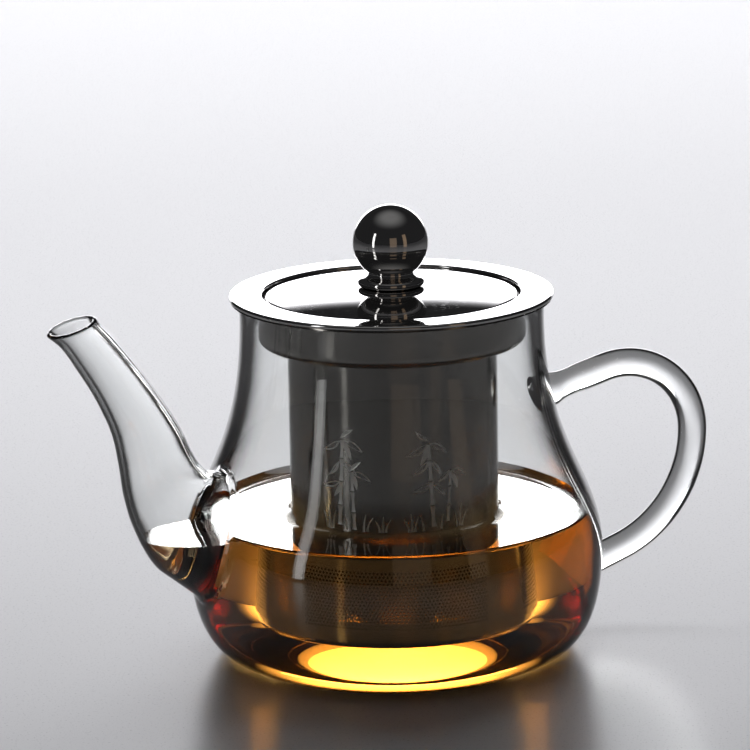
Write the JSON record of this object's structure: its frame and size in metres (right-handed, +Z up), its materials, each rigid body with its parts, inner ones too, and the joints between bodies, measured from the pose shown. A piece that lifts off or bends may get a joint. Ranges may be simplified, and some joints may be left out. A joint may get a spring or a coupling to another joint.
{
  "type": "glass teapot",
  "caption": "Clear glass teapot with a fused spout and rod handle, a lift-out steel infuser and a domed steel lid with a ball knob.",
  "frame": {"origin": "centre of the flat that the pot stands on, on the pot's axis", "axes": "+Z up along the pot's axis, +X towards the handle, the spout points to -X"},
  "size_m": [0.1898, 0.1136, 0.1239],
  "materials": {
    "clear_glass": "fire-polished, clear",
    "infuser_steel": "bright drawn sheet, matt etched figures",
    "polished_steel": "mirror polished",
    "screw_steel": "turned, satin",
    "tea": "clear amber liquid"
  },
  "bodies": {
    "pot": {"pot_body": "clear_glass", "spout": "clear_glass", "handle": "clear_glass"},
    "infuser": {"infuser_collar": "infuser_steel", "infuser_tube": "infuser_steel", "infuser_base": "infuser_steel"},
    "lid": {"lid_shell": "polished_steel", "knob_foot": "polished_steel", "knob_ball": "polished_steel", "knob_screw": "screw_steel", "knob_washer": "screw_steel"}
  },
  "joints": [
    {"name": "infuser_lift", "type": "slide", "parent": "pot", "child": "infuser", "axis": [0, 0, 1], "range_m": [0, 0.095]},
    {"name": "lid_lift", "type": "slide", "parent": "infuser", "child": "lid", "axis": [0, 0, 1], "range_m": [0, 0.04]}
  ]
}
